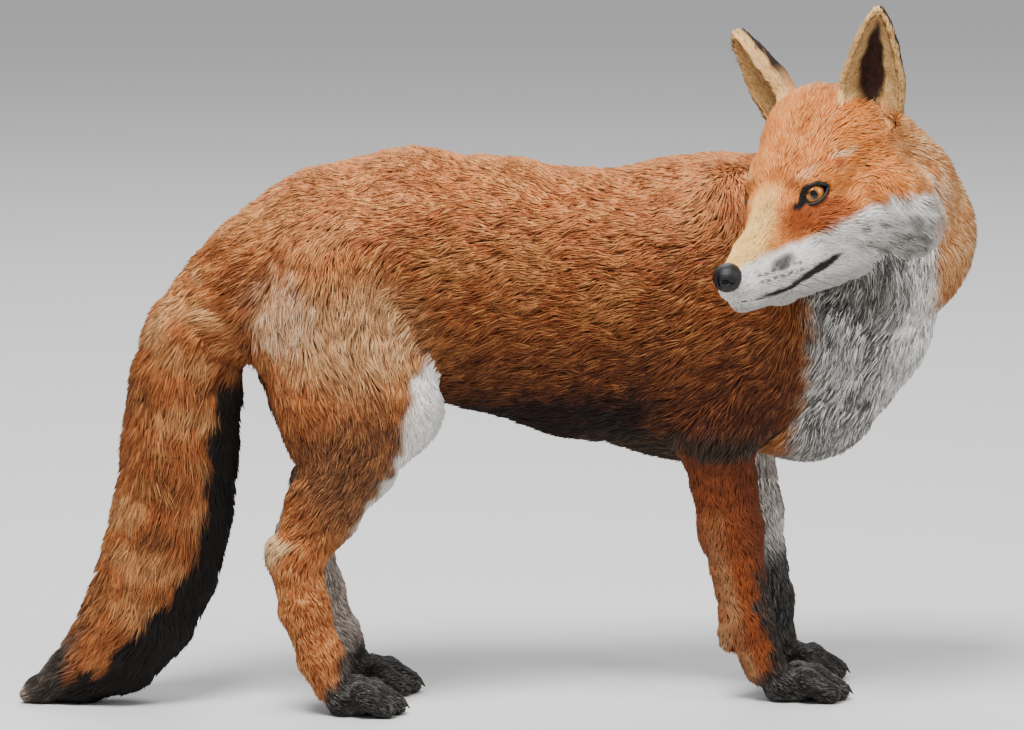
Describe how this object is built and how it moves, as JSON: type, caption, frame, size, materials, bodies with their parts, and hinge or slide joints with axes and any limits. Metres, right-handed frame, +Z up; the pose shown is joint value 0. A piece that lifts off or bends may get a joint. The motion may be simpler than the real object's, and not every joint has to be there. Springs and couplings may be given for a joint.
{
  "type": "red fox",
  "caption": "Standing red fox with its head turned back over the right shoulder, ears pricked, full brush hanging to the floor and black stockings",
  "frame": {"origin": "on the floor, under the middle of the bounding box", "axes": "+X forward along the trunk, +Y to the animal's left, +Z up; the animal stands on Z = 0"},
  "size_m": [0.6606, 0.2634, 0.4984],
  "materials": {
    "red_coat": "orange-brown guard hair over grey-brown underfur, darker on the back and shoulders",
    "buff_coat": "buff and straw-coloured fur with orange underneath",
    "ear_coat": "short cream fur inside and at the rim, black velvet fur behind",
    "grey_coat": "short grey and white fur",
    "black_coat": "short black fur with brown ends",
    "eye": "wet amber eye with a dark slit pupil",
    "nose": "moist pebbled black nose leather",
    "claw": "dark horn, worn smooth"
  },
  "bodies": {
    "root": {"ear_right": "ear_coat", "ear_left": "ear_coat", "lower_jaw": "grey_coat", "muzzle": "red_coat", "head": "red_coat", "neck": "red_coat", "tail_base": "red_coat", "tail_middle": "red_coat", "tail_tip": "black_coat", "thigh_right": "buff_coat", "shank_right": "red_coat", "hock_right": "red_coat", "hindpaw_right": "black_coat", "shoulder_right": "red_coat", "elbow_right": "red_coat", "forearm_right": "red_coat", "forepaw_right": "black_coat", "thigh_left": "buff_coat", "shank_left": "red_coat", "hock_left": "red_coat", "hindpaw_left": "black_coat", "shoulder_left": "red_coat", "elbow_left": "red_coat", "forearm_left": "red_coat", "forepaw_left": "black_coat", "rump": "red_coat", "belly": "red_coat", "chest": "red_coat", "eye_right": "eye", "eye_left": "eye", "nose": "nose", "claw_forepaw_right_1": "claw", "claw_forepaw_right_2": "claw", "claw_forepaw_right_3": "claw", "claw_forepaw_right_4": "claw", "claw_forepaw_left_1": "claw", "claw_forepaw_left_2": "claw", "claw_forepaw_left_3": "claw", "claw_forepaw_left_4": "claw", "claw_hindpaw_right_1": "claw", "claw_hindpaw_right_2": "claw", "claw_hindpaw_right_3": "claw", "claw_hindpaw_right_4": "claw", "claw_hindpaw_left_1": "claw", "claw_hindpaw_left_2": "claw", "claw_hindpaw_left_3": "claw", "claw_hindpaw_left_4": "claw"}
  },
  "joints": []
}
